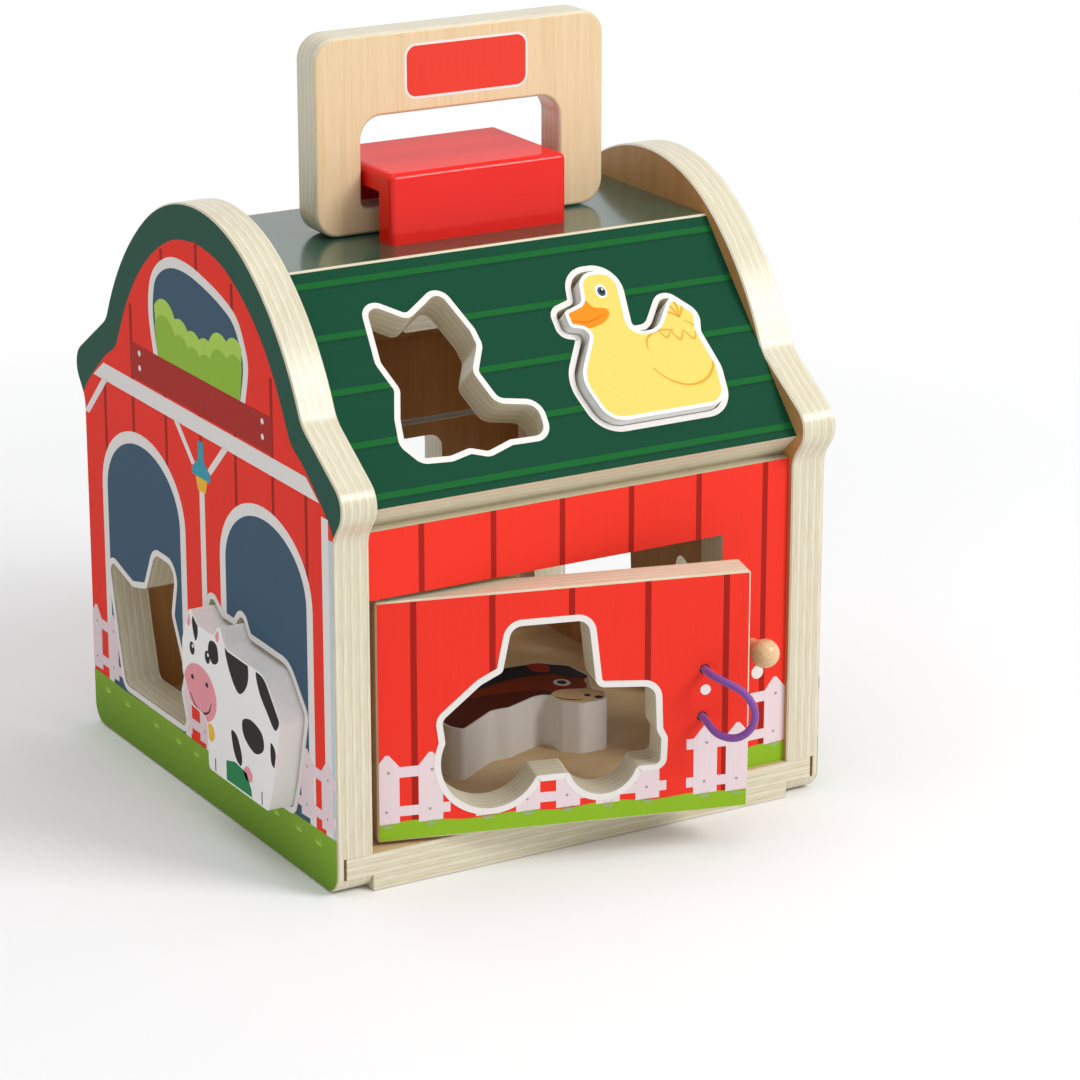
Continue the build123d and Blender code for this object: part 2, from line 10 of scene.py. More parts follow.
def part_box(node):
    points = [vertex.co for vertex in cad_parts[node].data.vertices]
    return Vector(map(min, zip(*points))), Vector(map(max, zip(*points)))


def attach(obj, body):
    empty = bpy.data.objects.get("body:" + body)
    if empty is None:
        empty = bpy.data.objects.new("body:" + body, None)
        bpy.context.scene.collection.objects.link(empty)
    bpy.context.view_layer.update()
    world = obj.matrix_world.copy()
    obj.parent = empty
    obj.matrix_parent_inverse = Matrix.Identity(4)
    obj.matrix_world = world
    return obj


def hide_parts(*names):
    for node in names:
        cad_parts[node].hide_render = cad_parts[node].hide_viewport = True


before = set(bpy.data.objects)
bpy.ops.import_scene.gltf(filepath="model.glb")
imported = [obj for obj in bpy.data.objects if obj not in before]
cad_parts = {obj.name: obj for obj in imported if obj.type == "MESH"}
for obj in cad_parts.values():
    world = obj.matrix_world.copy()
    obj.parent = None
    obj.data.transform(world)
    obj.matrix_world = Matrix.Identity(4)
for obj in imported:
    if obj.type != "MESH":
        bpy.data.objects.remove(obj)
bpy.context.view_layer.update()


# ---------------------------------------------------------------------------------------------
# Room: a pale sweep of paper, a large soft lamp in front on the right, and a weaker one
# overhead. The camera is a long lens, 29 degrees round from the front door and 18 degrees above it.
# ---------------------------------------------------------------------------------------------
MM = 0.001


def hex_colour(code):
    """An sRGB hex colour as linear red, green, blue and alpha."""
    shares = [int(code[i : i + 2], 16) / 255 for i in (1, 3, 5)]
    linear = [s / 12.92 if s <= 0.04045 else ((s + 0.055) / 1.055) ** 2.4 for s in shares]
    return (*linear, 1.0)


def add_node(tree, kind, inputs=(), **settings):
    """A node with its settings. Each input is (socket, a value or the output that feeds it)."""
    node = tree.nodes.new("ShaderNode" + kind)
    for name, value in settings.items():
        setattr(node, name, value)
    for socket, value in inputs:
        if isinstance(value, bpy.types.NodeSocket):
            tree.links.new(value, node.inputs[socket])
        else:
            node.inputs[socket].default_value = value
    return node


def new_material(name, colour, roughness, **settings):
    """A Principled material of one colour, and its node tree and shader to build on."""
    material = bpy.data.materials.new(name)
    material.use_nodes = True
    tree = material.node_tree
    shader = tree.nodes["Principled BSDF"]
    shader.inputs["Base Color"].default_value = hex_colour(colour)
    shader.inputs["Roughness"].default_value = roughness
    for socket, value in settings.items():
        shader.inputs[socket.replace("_", " ")].default_value = value
    return material, tree, shader


def deselect():
    if bpy.context.object and bpy.context.object.mode != "OBJECT":
        bpy.ops.object.mode_set(mode="OBJECT")
    bpy.ops.object.select_all(action="DESELECT")


def pick(piece):
    """The piece alone selected and active."""
    deselect()
    piece.select_set(True)
    bpy.context.view_layer.objects.active = piece


deselect()
bpy.ops.mesh.primitive_plane_add(size=14, location=(0, 0, -0.0002))
floor = bpy.context.object
floor.name = "paper_floor"
paper, paper_tree, paper_shader = new_material("matt white studio paper", "#f7f7f6", 0.95)
paper_shader.inputs["Specular IOR Level"].default_value = 0.1
# Past half a metre the sweep is lit to plain white, so it has no horizon.
spot = add_node(paper_tree, "TexCoord").outputs["Object"]
away = add_node(paper_tree, "VectorMath", [(0, spot)], operation="LENGTH").outputs["Value"]
span = [("Value", away), ("From Min", 0.2), ("From Max", 0.6)]
fade = add_node(paper_tree, "MapRange", span, interpolation_type="SMOOTHSTEP")
lit_paper = add_node(paper_tree, "Emission", [("Strength", 1.0)])
both = [(0, fade.outputs[0]), (1, paper_shader.outputs[0]), (2, lit_paper.outputs[0])]
sweep = add_node(paper_tree, "MixShader", both)
# Only the camera and mirrors see that white: it lights nothing.
view_rays = add_node(paper_tree, "LightPath")
rays = [(0, view_rays.outputs["Is Camera Ray"]), (1, view_rays.outputs["Is Glossy Ray"])]
watched = add_node(paper_tree, "Math", rays, operation="MAXIMUM")
both = [(0, watched.outputs[0]), (1, paper_shader.outputs[0]), (2, sweep.outputs[0])]
shown = add_node(paper_tree, "MixShader", both)
paper_tree.links.new(shown.outputs[0], paper_tree.nodes["Material Output"].inputs["Surface"])
floor.data.materials.append(paper)

world = bpy.data.worlds.new("studio")
bpy.context.scene.world = world
world.use_nodes = True
world_tree = world.node_tree
room_glow = world_tree.nodes["Background"]
room_glow.inputs["Color"].default_value = hex_colour("#f6f8fb")
room_glow.inputs["Strength"].default_value = 0.56
white_wall = add_node(world_tree, "Background", [("Strength", 1.0)])
seen = add_node(world_tree, "LightPath")
rays = [(0, seen.outputs["Is Camera Ray"]), (1, seen.outputs["Is Glossy Ray"])]
mirrored = add_node(world_tree, "Math", rays, operation="MAXIMUM")
shaders = [(0, mirrored.outputs[0]), (1, room_glow.outputs[0]), (2, white_wall.outputs[0])]
backdrop = add_node(world_tree, "MixShader", shaders)
world_tree.links.new(backdrop.outputs[0], world_tree.nodes["World Output"].inputs["Surface"])


def add_lamp(name, place, target, width, power):
    """A square soft lamp that faces a point."""
    lamp = bpy.data.lights.new(name, "AREA")
    lamp.size = width
    lamp.energy = power
    holder = bpy.data.objects.new(name, lamp)
    bpy.context.scene.collection.objects.link(holder)
    holder.location = place
    aim = Vector(target) - Vector(place)
    holder.rotation_euler = aim.to_track_quat("-Z", "Y").to_euler()


middle = (0, 0, 0.1)
add_lamp("key_lamp_right", (0.86, -1.17, 1.16), middle, 0.7, 17.5)
add_lamp("overhead_lamp", (-0.1, 0.1, 1.7), middle, 1.3, 8)

lens = bpy.data.cameras.new("long_lens")
lens.lens = 134.03
lens.sensor_width = 36
lens.clip_end = 30
camera = bpy.data.objects.new("camera", lens)
bpy.context.scene.collection.objects.link(camera)
camera.location = (-0.5920, -1.0706, 0.4795)
looking = Vector((0.47935, 0.81909, -0.31515))
camera.rotation_euler = looking.to_track_quat("-Z", "Y").to_euler()
bpy.context.scene.camera = camera
bpy.context.scene.view_settings.view_transform = "Standard"


# ---------------------------------------------------------------------------------------------
# Base: one birch plywood board, sawn and sanded, with tongues glued into slots of the gables.
# Its plies show as pale and darker stripes along every edge.
# ---------------------------------------------------------------------------------------------
BOARD = 12 * MM
VENEER = BOARD / 9  # one ply


def grain(tree, through, fine, long, along=None):
    """Wood fibres: a noise that is fine (mm) one way and drawn out (mm) the other way.

    It is fine along "through" and long across it, or the other way round with "along".
    """
    direction, size, other = (along, long, fine) if along else (through, fine, long)
    place = add_node(tree, "TexCoord").outputs["Object"]
    reach = add_node(tree, "VectorMath", [(0, place), (1, direction)], operation="DOT_PRODUCT")
    pull = [(0, reach.outputs["Value"]), (1, (1 / size - 1 / other) / MM)]
    drawn = add_node(tree, "Math", pull, operation="MULTIPLY")
    even = add_node(tree, "VectorMath", [(0, place), (3, 1 / other / MM)], operation="SCALE")
    shift = [(0, direction), (3, drawn.outputs[0])]
    pulled = add_node(tree, "VectorMath", shift, operation="SCALE")
    spots = [(0, even.outputs[0]), (1, pulled.outputs[0])]
    spot = add_node(tree, "VectorMath", spots, operation="ADD")
    look = [("Vector", spot.outputs[0]), ("Scale", 1.0), ("Detail", 5.0), ("Roughness", 0.6)]
    return add_node(tree, "TexNoise", look).outputs["Fac"]


def colour_steps(tree, amount, steps):
    """A colour ramp through (place, hex colour) steps."""
    ramp = add_node(tree, "ValToRGB", [("Fac", amount)])
    stops = ramp.color_ramp.elements
    while len(stops) < len(steps):
        stops.new(0.5)
    for stop, (place, code) in zip(stops, steps):
        stop.position = place
        stop.color = hex_colour(code)
    return ramp.outputs["Color"]


def tint_with(tree, shader, share, under, over):
    """Colours a material with one tone darkened by a share of another."""
    both = [(0, share), (6, under), (7, over)]
    mixed = add_node(tree, "Mix", both, data_type="RGBA", blend_type="MULTIPLY")
    tree.links.new(mixed.outputs[2], shader.inputs["Base Color"])


def relief(tree, shader, height, depth, strength):
    """A bump of a depth in millimetres."""
    sockets = [("Height", height), ("Distance", depth * MM), ("Strength", strength)]
    bump = add_node(tree, "Bump", sockets)
    tree.links.new(bump.outputs["Normal"], shader.inputs["Normal"])


def edge_plies(name, through, face):
    """Birch plywood on its edge, sanded and lacquered: nine plies of long and end grain in
    turn, with a thin darker glue line between them. The outer face lies at "face" (m) along
    the way that the plies are stacked."""
    material, tree, shader = new_material(name, "#e3decb", 0.34)
    shader.inputs["Coat Weight"].default_value = 0.25
    shader.inputs["Coat Roughness"].default_value = 0.2
    place = add_node(tree, "TexCoord").outputs["Object"]
    depth = add_node(tree, "VectorMath", [(0, place), (1, through)], operation="DOT_PRODUCT")
    count = [(0, depth.outputs["Value"]), (1, 0.5 / VENEER), (2, 4.5 - 0.5 * face / VENEER)]
    plies = add_node(tree, "Math", count, operation="MULTIPLY_ADD")
    wave = add_node(tree, "TexNoise", [("Vector", place), ("Scale", 55.0), ("Detail", 2.0)])
    waver = [(0, wave.outputs["Fac"]), (1, 0.16), (2, plies.outputs[0])]
    level = add_node(tree, "Math", waver, operation="MULTIPLY_ADD")
    turn = add_node(tree, "Math", [(0, level.outputs[0])], operation="FRACT").outputs[0]
    stripes = [
        (0.00, "#d3c6a6"),
        (0.06, "#e6e1cf"),
        (0.44, "#e0dac4"),
        (0.50, "#d0c3a1"),
        (0.58, "#dcd5ba"),
        (0.94, "#ddd7bf"),
        (1.00, "#d3c6a6"),
    ]
    layers = colour_steps(tree, turn, stripes)
    fibres = grain(tree, through, 0.28, 7.0)
    streaks = colour_steps(tree, fibres, [(0.3, "#e4d9c4"), (0.62, "#ffffff")])
    tint_with(tree, shader, 0.7, layers, streaks)
    relief(tree, shader, fibres, 0.05, 0.35)
    return material


def birch_face(name, along, light="#efd8b2", dark="#e6c99c"):
    """Rotary-cut birch veneer, sanded and lacquered: pale tan, with soft long streaks."""
    material, tree, shader = new_material(name, light, 0.45)
    shader.inputs["Specular IOR Level"].default_value = 0.3
    fibres = grain(tree, None, 0.8, 30.0, along=along)
    broad = grain(tree, None, 7.0, 90.0, along=along)
    tones = colour_steps(tree, broad, [(0.3, dark), (0.7, light)])
    streaks = colour_steps(tree, fibres, [(0.25, "#eee0ca"), (0.6, "#ffffff")])
    tint_with(tree, shader, 0.55, tones, streaks)
    relief(tree, shader, fibres, 0.03, 0.2)
    return material


def dress_board(node, out, along, front=None):
    """A board's finish: its plies on every edge and in its holes, unlacquered veneer inside
    the barn coloured a darker brown as painted shade, and a first coat of ink over its outer
    face, where it is printed."""
    out = Vector(out)
    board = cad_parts[node].data
    face = max(corner.co.dot(out) for corner in board.vertices)
    # Inner faces get a darker, browner veneer than the pale outer birch: painted shade for the
    # inside of the barn.
    inside = birch_face(node + " raw birch veneer", along, "#c89a62", "#b98850")
    board.materials.clear()
    for finish in (edge_plies(node + " plywood edge", out, face), inside, front or inside):
        board.materials.append(finish)
    for polygon in board.polygons:
        lean = polygon.normal.dot(out)
        polygon.material_index = 2 if lean > 0.9 else 1 if lean < -0.9 else 0


base_top = birch_face("base pale birch veneer", (1, 0, 0), "#dcc397", "#cfb083")
dress_board("base_panel", (0, 0, 1), (1, 0, 0), base_top)


# ---------------------------------------------------------------------------------------------
# Gables: two plywood ends, sawn to one outline. Their outer faces are screen printed before
# assembly, one flat ink over another: border, red boards, windows, beams, fence and grass.
# ---------------------------------------------------------------------------------------------
INK_COAT = 0.03  # mm, how much each ink stands over the one under it


def ink(name, colour, roughness=0.55, along=(0, 0, 1), foot_colour=None):
    """Matt screen ink over sanded veneer, whose grain just shows through as a faint relief.
    With a foot colour it shades off towards the ground, over 18 mm."""
    material, tree, shader = new_material(name + " screen ink", colour, roughness)
    shader.inputs["Specular IOR Level"].default_value = 0.07
    fibres = grain(tree, None, 0.6, 22.0, along=along)
    cover = colour_steps(tree, fibres, [(0.25, "#f1f1f1"), (0.6, "#ffffff")])
    tone = hex_colour(colour)
    if foot_colour:
        place = add_node(tree, "TexCoord").outputs["Object"]
        height = add_node(tree, "SeparateXYZ", [(0, place)]).outputs["Z"]
        share = add_node(tree, "Math", [(0, height), (1, 1 / (18 * MM))], operation="MULTIPLY")
        tone = colour_steps(tree, share.outputs[0], [(0.0, foot_colour), (1.0, colour)])
    tint_with(tree, shader, 0.35, tone, cover)
    relief(tree, shader, fibres, 0.02, 0.12)
    return material


red_ink = ink("red", "#f2392b")
dark_red_ink = ink("dark red", "#a3241b")
crossbar_ink = ink("crossbar dark red", "#b02f28")
deep_green_ink = ink("deep green", "#2a5546")
white_ink = ink("warm white", "#ece7e2")
slate_ink = ink("slate blue", "#425c70")
leaf_ink = ink("leaf green", "#97c03f")
light_leaf_ink = ink("light leaf green", "#b4d65c")
gable_grass_ink = ink("gable grass green", "#86ad33", foot_colour="#6b8f2c")
grass_ink = ink("grass green", "#8fb92b")
fence_ink = ink("pale pink fence", "#ead7da")
grey_ink = ink("grey line", "#a89a9c")
pale_blue_ink = ink("pale blue", "#c9d6dd")
tuft_ink = ink("pale tuft", "#a9b88f")
teal_ink = ink("teal", "#3f9fb0")
yellow_ink = ink("yellow", "#f2bf3d")


def box_outline(left, foot, right, top):
    return [(left, foot), (right, foot), (right, top), (left, top)]


def arc_points(middle, across, up, start, end, steps):
    """Points along an arc of an ellipse, from one angle to another in degrees."""
    turns = [math.radians(start + (end - start) * step / steps) for step in range(steps + 1)]
    return [(middle[0] + across * math.cos(t), middle[1] + up * math.sin(t)) for t in turns]


def smooth_outline(points, closed=True):
    """A soft line through the points, as a brush would draw it."""
    count, steps = len(points), 6
    line = []
    for place in range(count if closed else count - 1):
        if closed:
            four = [Vector(points[(place + k) % count]) for k in (-1, 0, 1, 2)]
        else:
            four = [Vector(points[min(max(place + k, 0), count - 1)]) for k in (-1, 0, 1, 2)]
        a, b, c, d = four
        for step in range(steps):
            t = step / steps
            spot = 2 * b + (c - a) * t + (2 * a - 5 * b + 4 * c - d) * t**2
            spot += (3 * b - a - 3 * c + d) * t**3
            line.append(tuple(spot / 2))
    if not closed:
        line.append(tuple(points[-1]))
    return line


def brush_line(points, width, taper):
    """The outline of a brush stroke along the points, round at its ends."""
    line = [Vector(p) for p in smooth_outline(points, closed=False)]
    last = len(line) - 1
    left, right = [], []
    for place, spot in enumerate(line):
        ahead = (line[min(place + 1, last)] - line[max(place - 1, 0)]).normalized()
        side = Vector((-ahead.y, ahead.x))
        share = abs(2 * place / last - 1)
        half = width / 2 * (taper + (1 - taper) * (1 - share**2))
        left.append(tuple(spot + side * half))
        right.append(tuple(spot - side * half))
    return left + right[::-1]


def dot(across, up, radius, tall=1.0):
    return arc_points((across, up), radius, radius * tall, 0, 345, 23)


def outer_face(node, out):
    """A copy of a board's outer face, with its holes, as one merged sheet."""
    out = Vector(out)
    mesh = bmesh.new()
    mesh.from_mesh(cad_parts[node].data)
    bmesh.ops.remove_doubles(mesh, verts=mesh.verts, dist=1e-6)
    face = max(corner.co.dot(out) for corner in mesh.verts)
    other = [
        f
        for f in mesh.faces
        if f.normal.dot(out) < 0.99 or f.calc_center_median().dot(out) < face - 1e-5
    ]
    bmesh.ops.delete(mesh, geom=other, context="FACES")
    data = bpy.data.meshes.new(node + "_face")
    mesh.to_mesh(data)
    mesh.free()
    sheet = bpy.data.objects.new(node + "_face", data)
    bpy.context.scene.collection.objects.link(sheet)
    return sheet


def apply_all(piece):
    pick(piece)
    for change in list(piece.modifiers):
        bpy.ops.object.modifier_apply(modifier=change.name)


def thicken(sheet, thickness, offset):
    """Gives a sheet its thickness in mm: outward with offset 1, both ways with offset 0."""
    wall = sheet.modifiers.new("thickness", "SOLIDIFY")
    wall.thickness = thickness * MM
    wall.offset = offset
    apply_all(sheet)


def trim_rim(sheet, width, keep):
    """Insets a face all round. Keeps what lies inside, or only the rims of its shape holes."""
    mesh = bmesh.new()
    mesh.from_mesh(sheet.data)
    loops = []
    open_edges = {edge for edge in mesh.edges if edge.is_boundary}
    while open_edges:
        found, next_edges = set(), [open_edges.pop()]
        while next_edges:
            edge = next_edges.pop()
            found.add(edge)
            for corner in edge.verts:
                more = [e for e in corner.link_edges if e in open_edges]
                open_edges.difference_update(more)
                next_edges += more
        loops.append({corner for edge in found for corner in edge.verts})

    def spread(corners):
        spots = [corner.co for corner in corners]
        return sum(max(s[k] for s in spots) - min(s[k] for s in spots) for k in range(3))

    loops.sort(key=spread)
    holes = [loop for loop in loops[:-1] if spread(loop) > 20 * MM]
    hole_corners = set().union(*holes)
    rim = bmesh.ops.inset_region(
        mesh, faces=mesh.faces[:], thickness=width * MM, use_boundary=True, use_even_offset=True
    )["faces"]
    if keep == "inside":
        unwanted = rim
    else:
        around = {f for f in rim if any(corner in hole_corners for corner in f.verts)}
        unwanted = [f for f in mesh.faces if f not in around]
    bmesh.ops.delete(mesh, geom=unwanted, context="FACES")
    mesh.to_mesh(sheet.data)
    mesh.free()


def start_print(node, out, margin=0.0):
    """A cutter as wide as the board's printed face, which every ink is cut to."""
    cutter = outer_face(node, out)
    if margin:
        trim_rim(cutter, margin, "inside")
    thicken(cutter, 4.0, 0.0)
    return {"node": node, "out": out, "cutter": cutter, "inks": []}


def lay_ink(job, placing, level, colour, outlines):
    """Prints flat shapes, drawn in mm on the board, as the ink at that level. Shapes inside
    one another leave a hole."""
    height = INK_COAT * level
    drawing = bpy.data.curves.new(colour.name, "CURVE")
    drawing.dimensions = "2D"
    drawing.fill_mode = "BOTH"
    drawing.extrude = height / 2 + 0.01
    for outline in outlines:
        spline = drawing.splines.new("POLY")
        spline.points.add(len(outline) - 1)
        for point, spot in zip(spline.points, outline):
            point.co = (*spot, 0, 1)
        spline.use_cyclic_u = True
    shapes = bpy.data.objects.new(colour.name, drawing)
    bpy.context.scene.collection.objects.link(shapes)
    pick(shapes)
    bpy.ops.object.convert(target="MESH")
    shapes = bpy.context.object
    bpy.ops.object.mode_set(mode="EDIT")
    bpy.ops.mesh.select_all(action="SELECT")
    bpy.ops.mesh.remove_doubles(threshold=0.001)
    bpy.ops.mesh.normals_make_consistent(inside=False)
    bpy.ops.object.mode_set(mode="OBJECT")
    shapes.data.transform(placing @ Matrix.Translation((0, 0, height / 2 - 0.01)))
    shapes.data.materials.append(colour)
    cut = shapes.modifiers.new("cut to board", "BOOLEAN")
    cut.operation = "INTERSECT"
    cut.solver = "EXACT"
    cut.object = job["cutter"]
    apply_all(shapes)
    shapes.data.materials.clear()
    shapes.data.materials.append(colour)
    job["inks"].append(shapes)


def lay_each(job, placing, level, colour, outlines):
    """Prints every shape by itself, so that shapes that cross leave no hole."""
    for outline in outlines:
        lay_ink(job, placing, level, colour, [outline])


def lay_rims(job, level, colour, width=2.0):
    """A white line round every hole in the board."""
    rims = outer_face(job["node"], job["out"])
    trim_rim(rims, width, "hole rims")
    thicken(rims, INK_COAT * level, 1.0)
    rims.data.materials.append(colour)
    job["inks"].append(rims)


def finish_print(job, name, body):
    """Joins the inks of one board, which rides on the board's body."""
    bpy.data.objects.remove(job["cutter"])
    deselect()
    for shapes in job["inks"]:
        shapes.select_set(True)
    bpy.context.view_layer.objects.active = job["inks"][0]
    if len(job["inks"]) > 1:
        bpy.ops.object.join()
    picture = bpy.context.object
    picture.name = picture.data.name = name
    bpy.ops.object.shade_flat()
    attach(picture, body)
    return picture


def drawn_on(corner, across, up, out):
    """Places a drawing in mm on a board: its corner in metres, and its three directions."""
    board = Matrix([Vector(v) for v in (across, up, out)]).transposed().to_4x4()
    return Matrix.Translation(corner) @ board @ Matrix.Scale(MM, 4)


def board_seams(places, top):
    """The dark joints between printed boards, 1.9 mm wide."""
    return [box_outline(u - 0.95, 10, u + 0.95, top) for u in places]


def lawn_outline(line, foot):
    """Grass under a soft line, down to a straight foot."""
    return [(line[0][0], foot)] + smooth_outline(line, closed=False) + [(line[-1][0], foot)]


def print_fence(job, placing, level, groups, foot):
    """A fence of grouped pickets: its rails, then the pointed pickets, then their nails."""
    half = 3.75  # mm, half a picket's width
    rails, pickets, nails = [], [], []
    for places in groups:
        for low, high in ((foot + 2.4, foot + 5.6), (foot + 14.8, foot + 18.2)):
            rails.append(box_outline(places[0] - 6, low, places[-1] + 6, high))
        for across in places:
            pickets.append(
                [
                    (across - half, foot),
                    (across + half, foot + 0.3),
                    (across + half, foot + 18.4),
                    (across + 0.55, foot + 22.2),
                    (across - 0.55, foot + 22.2),
                    (across - half, foot + 18.2),
                ]
            )
            nails += [dot(across + 0.4, foot + 16.6, 0.5), dot(across - 0.3, foot + 4.0, 0.45)]
    lay_ink(job, placing, level, fence_ink, rails)
    lay_ink(job, placing, level + 1, fence_ink, pickets)
    lay_ink(job, placing, level + 2, grey_ink, nails)


def grass_tufts(places, foot, size=1.0):
    """Small fans of blades at the feet of the pickets."""
    blades = []
    for across in places:
        for lean, height in ((-2.6, 1.5), (-1.4, 2.6), (0.1, 1.9), (1.5, 2.7), (2.7, 1.4)):
            tip = (across + lean * size, foot + height * size)
            root = across + lean * 0.4 * size
            blades.append([(root - 0.35 * size, foot), (root + 0.35 * size, foot), tip])
    return blades


GABLE_EDGE = 88.0  # mm, past the straight edge of a gable
gable_out = {"left": (-1, 0, 0), "right": (1, 0, 0)}
inner_border = [
    (-80.0, 121.5), (-69.5, 130.0), (-61.5, 135.0), (-57.0, 142.5), (-51.6, 151.6),
    (-43.0, 162.3), (-31.0, 172.3), (-16.0, 179.7), (0.0, 182.2),
]  # fmt: skip
for end, out in gable_out.items():
    node = end + "_gable"
    turn = out[0]
    dress_board(node, out, (0, 0, 1), deep_green_ink)
    placing = drawn_on((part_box(node)[0 if turn < 0 else 1].x, 0, 0), (0, turn, 0), (0, 0, 1), out)
    job = start_print(node, out)

    # Red boards inside the green border, with dark joints between them.
    half_line = smooth_outline(inner_border, closed=False)
    field = [(-GABLE_EDGE, -1), (-GABLE_EDGE, 112.6), (-85.5, 116.4)] + half_line
    field += [(-across, up) for across, up in field[-2::-1]]
    lay_ink(job, placing, 1, red_ink, [field])
    joints = [(-70.5, 127), (-49.0, 152), (-24.9, 175), (0, 182)]
    joints += [(24.1, 175), (49.0, 152), (70.5, 127)]
    lines = [box_outline(u - 0.85, 10, u + 0.85, top) for u, top in joints]
    lay_ink(job, placing, 2, dark_red_ink, lines)
    lay_ink(job, placing, 3, crossbar_ink, [box_outline(-49.4, 128.1, 49.4, 139.8)])

    # Loft window with bushes, over its dark crossbar.
    casing = [(-32.3, 139.8), (-34.9, 150.6), (-34.6, 159.2), (-31.6, 166.0), (-25.1, 171.2)]
    casing += [(-16.6, 174.2), (-6.0, 174.4), (4.1, 172.9), (17.5, 169.6), (27.3, 165.2)]
    casing += [(32.6, 157.3), (34.3, 150.6), (31.8, 139.8)]
    pane = [(-29.0, 139.8), (-31.6, 151.3), (-31.0, 159.6), (-28.6, 164.9), (-22.4, 169.0)]
    pane += [(-14.5, 171.0), (-5.0, 171.0), (5.0, 169.4), (15.5, 166.8), (24.5, 163.0)]
    pane += [(29.4, 156.3), (31.0, 150.0), (28.6, 139.8)]
    for level, colour, line in ((4, white_ink, casing), (5, slate_ink, pane)):
        lay_ink(job, placing, level, colour, [smooth_outline(line, closed=False)])
    # Leaf clusters of the bushes: across, up, radius.
    clusters = [(-23.6, 150.6, 8.6), (-12.4, 148.6, 6.9), (-3.4, 147.2, 6.6), (5.4, 147.0, 6.6)]
    clusters += [(15.2, 149.4, 8.2), (25.4, 151.6, 6.9)]
    for level, colour, drop, share in ((6, light_leaf_ink, 0.0, 1.0), (7, leaf_ink, 4.6, 0.92)):
        hedge = [(-29.0, 139.9)]
        for step in range(81):
            u = -30.6 + 61.0 * step / 80
            reaches = [(up, (radius * share) ** 2 - (u - at) ** 2) for at, up, radius in clusters]
            tops = [up + math.sqrt(reach) for up, reach in reaches if reach > 0]
            hedge.append((u, max(tops, default=150.5) - drop))
        hedge.append((28.6, 139.9))
        lay_ink(job, placing, level, colour, [hedge])
    studs = [(side * 43, up) for side in (-1, 1) for up in (132.4, 137.2)]
    lay_ink(job, placing, 4, white_ink, [dot(u, up, 0.95) for u, up in studs])

    # Tie beam, corner braces, corner boards, and the lantern on the centre post.
    beam = [(-79.1, 121.7), (79.1, 121.7), (70.9, 127.4), (-70.9, 127.4)]
    lay_ink(job, placing, 3, white_ink, [beam])
    braces = [[(-68.6, 121.8), (-72.4, 121.8), (-87.0, 107.4), (-83.6, 107.4)]]
    for side in (-1, 1):
        brace = [(15.4, 121.8), (19.0, 121.8), (6.6, 110.4), (4.4, 111.6)]
        braces.append([(side * u, up) for u, up in brace])
    braces.append(box_outline(-1.75, 16, 1.75, 104))
    braces.append(box_outline(80.2, 10, 84.4, 118))
    lay_ink(job, placing, 3, white_ink, braces)
    lay_ink(job, placing, 2, pale_blue_ink, [box_outline(84.4, 10, GABLE_EDGE, 112)])
    cap = [(-1.8, 119.6), (1.8, 119.6), (2.1, 113.4), (6.4, 109.8), (6.4, 107.8), (-6.4, 107.8)]
    cap += [(-6.4, 109.8), (-2.1, 113.4)]
    lay_ink(job, placing, 5, teal_ink, [cap])
    lamp_glass = [(-4.2, 107.9), (4.2, 107.9), (2.6, 103.4), (-2.6, 103.4)]
    lay_ink(job, placing, 4, yellow_ink, [lamp_glass])

    # Two arched doorways: a casing 3.9 mm wide round a dark opening.
    for middle_u in (-43.8, 42.6):
        for level, colour, half, rise in ((3, white_ink, 31.0, 24.2), (4, slate_ink, 27.1, 20.3)):
            arch = [(middle_u - half, 12), (middle_u - half, 86)]
            arch += arc_points((middle_u, 86), half, rise, 180, 0, 24)
            lay_ink(job, placing, level, colour, [arch + [(middle_u + half, 12)]])

    # Fence in the grass, and the white line round the holes.
    groups = [[-83.4, -70.6, -57.8, -45.0, -32.2, -15.5, -2.0, 11.5], [68.0, 81.4]]
    print_fence(job, placing, 6, groups, 19.5)
    lawn = [(-GABLE_EDGE, 18.4), (-60, 18.0), (-34, 18.6), (-8, 17.8), (20, 18.3), (50, 17.7)]
    lawn += [(GABLE_EDGE, 18.2)]
    lay_ink(job, placing, 6, gable_grass_ink, [lawn_outline(lawn, -1)])
    tufts = grass_tufts([-76, -61, -39, -22, -9, 5, 18, 31, 47, 62, 75], 13.0)
    lay_ink(job, placing, 7, light_leaf_ink, tufts)
    lay_rims(job, 9, white_ink)
    finish_print(job, end + "_gable_print", "barn")


# ---------------------------------------------------------------------------------------------
# Front and back walls: one plywood board each, sawn to a header over the doorway and a stile
# beside it, printed like the doors with red boards, a picket fence and grass.
# ---------------------------------------------------------------------------------------------
board_joint_ink = ink("board joint", "#a6231a")

wall_facing = {"front": -1, "back": 1}
for side, turn in wall_facing.items():
    node = side + "_wall"
    dress_board(node, (0, turn, 0), (0, 0, 1), red_ink)
    face_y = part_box(node)[0 if turn < 0 else 1].y
    placing = drawn_on((0, face_y, 0), (-turn, 0, 0), (0, 0, 1), (0, turn, 0))
    job = start_print(node, (0, turn, 0))
    seams = [-55.6, -31.2, -7.4, 16.9, 41.1, 65.3]
    lay_ink(job, placing, 1, board_joint_ink, board_seams(seams, 140))
    print_fence(job, placing, 2, [[56.0, 70.2]], 18.6)
    lawn = [(48, 18.8), (56, 18.2), (64, 19.1), (76, 18.4)]
    lay_ink(job, placing, 2, grass_ink, [lawn_outline(lawn, 10)])
    lay_ink(job, placing, 5, tuft_ink, grass_tufts([70.4], 17.6, 0.8))
    lay_ink(job, placing, 2, white_ink, [dot(63.6, 43.5, 2.2)])
    finish_print(job, side + "_wall_print", "barn")


